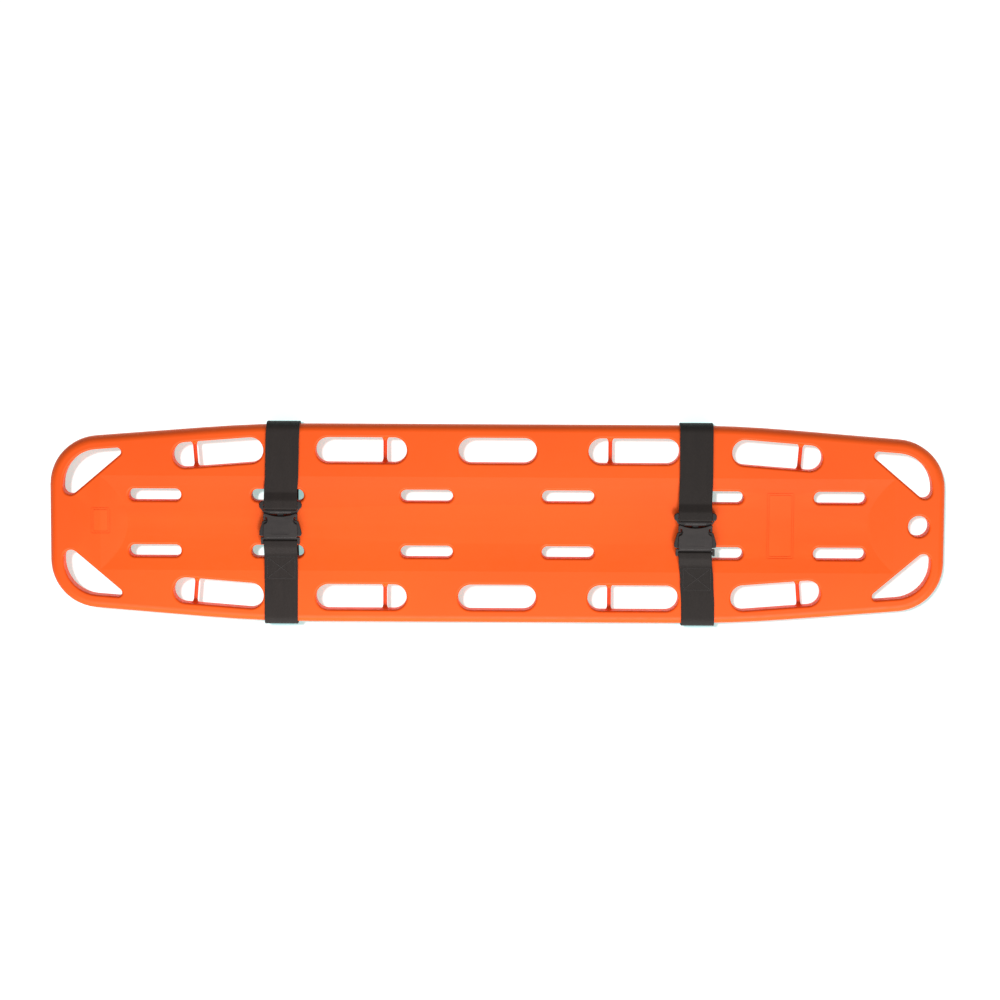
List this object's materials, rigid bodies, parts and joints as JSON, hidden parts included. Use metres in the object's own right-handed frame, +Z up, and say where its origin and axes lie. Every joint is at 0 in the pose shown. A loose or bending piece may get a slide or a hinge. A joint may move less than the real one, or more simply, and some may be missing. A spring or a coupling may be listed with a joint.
{
  "type": "spine board",
  "caption": "Hollow moulded rescue spine board with hand openings, strap slots, strap pins and quick-release straps that slide along it.",
  "frame": {"origin": "under the middle of the board, on the surface it lies on", "axes": "+X along the board towards the end with the round hole, +Y across it, +Z up, out of the face a patient lies on"},
  "size_m": [1.83, 0.4172, 0.063],
  "materials": {
    "shell": "satin",
    "pin": "satin",
    "foam": "matte",
    "webbing": "matte",
    "thread": "satin",
    "buckle": "satin"
  },
  "bodies": {
    "board": {"board_shell": "shell", "foam_core": "foam", "fill_plug_head": "shell", "fill_plug_foot": "shell", "strap_pin_1_left": "pin", "strap_pin_1_right": "pin", "strap_pin_2_left": "pin", "strap_pin_2_right": "pin", "strap_pin_3_left": "pin", "strap_pin_3_right": "pin", "strap_pin_4_left": "pin", "strap_pin_4_right": "pin"},
    "strap_1": {"webbing_1_loop": "webbing", "webbing_1_run": "webbing", "webbing_1_tail": "webbing", "stitching_1": "thread", "buckle_1_socket": "buckle"},
    "plug_1": {"buckle_1_plug": "buckle"},
    "arm_1_left": {"buckle_1_arm_left": "buckle"},
    "arm_1_right": {"buckle_1_arm_right": "buckle"},
    "strap_2": {"webbing_2_loop": "webbing", "webbing_2_run": "webbing", "webbing_2_tail": "webbing", "stitching_2": "thread", "buckle_2_socket": "buckle"},
    "plug_2": {"buckle_2_plug": "buckle"},
    "arm_2_left": {"buckle_2_arm_left": "buckle"},
    "arm_2_right": {"buckle_2_arm_right": "buckle"}
  },
  "joints": [
    {"name": "strap_1_slide", "type": "slide", "parent": "board", "child": "strap_1", "axis": [1, 0, 0], "range_m": [-0.08, 0.085]},
    {"name": "buckle_1_release", "type": "slide", "parent": "strap_1", "child": "plug_1", "axis": [0, 1, 0], "range_m": [0, 0.052], "deforming": ["webbing_1_run", "buckle_1_arm_left", "buckle_1_arm_right"]},
    {"name": "buckle_1_press_left", "type": "hinge", "parent": "plug_1", "child": "arm_1_left", "pos_m": [-0.4675, 0.0228, 0.0555], "axis": [0, 0, 1], "range_deg": [0, 11], "stiffness_Nm_per_rad": 0.3},
    {"name": "buckle_1_press_right", "type": "hinge", "parent": "plug_1", "child": "arm_1_right", "pos_m": [-0.4185, 0.0228, 0.0555], "axis": [0, 0, -1], "range_deg": [0, 11], "stiffness_Nm_per_rad": 0.3},
    {"name": "strap_2_slide", "type": "slide", "parent": "board", "child": "strap_2", "axis": [1, 0, 0], "range_m": [-0.048, 0.115]},
    {"name": "buckle_2_release", "type": "slide", "parent": "strap_2", "child": "plug_2", "axis": [0, 1, 0], "range_m": [0, 0.052], "deforming": ["webbing_2_run", "buckle_2_arm_left", "buckle_2_arm_right"]},
    {"name": "buckle_2_press_left", "type": "hinge", "parent": "plug_2", "child": "arm_2_left", "pos_m": [0.38, 0.0028, 0.0555], "axis": [0, 0, 1], "range_deg": [0, 11], "stiffness_Nm_per_rad": 0.3},
    {"name": "buckle_2_press_right", "type": "hinge", "parent": "plug_2", "child": "arm_2_right", "pos_m": [0.429, 0.0028, 0.0555], "axis": [0, 0, -1], "range_deg": [0, 11], "stiffness_Nm_per_rad": 0.3}
  ]
}
